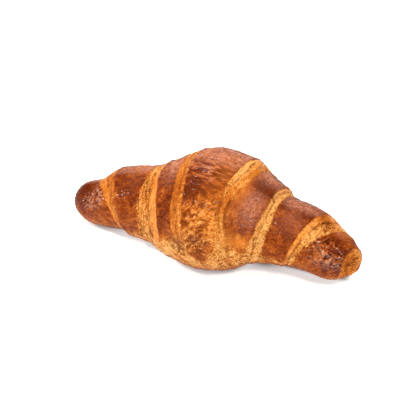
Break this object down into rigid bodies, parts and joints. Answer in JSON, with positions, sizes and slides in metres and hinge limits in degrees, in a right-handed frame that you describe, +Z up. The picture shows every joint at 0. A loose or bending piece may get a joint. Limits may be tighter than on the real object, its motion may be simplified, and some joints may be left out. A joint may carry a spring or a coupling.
{
  "type": "croissant",
  "caption": "Straight baked butter croissant: a roll of laminated dough with stepped windings, thick in the middle and tapering to two blunt tips.",
  "frame": {"origin": "on the tray surface, at the middle of the croissant's box", "axes": "+X along the roll, from the narrower tip to the fuller tip; -Y is the front, where the apex of the dough is tucked in; +Z up"},
  "size_m": [0.15, 0.0678, 0.0526],
  "materials": {
    "crust": "satin"
  },
  "bodies": {
    "root": {"croissant": "crust"}
  },
  "joints": []
}
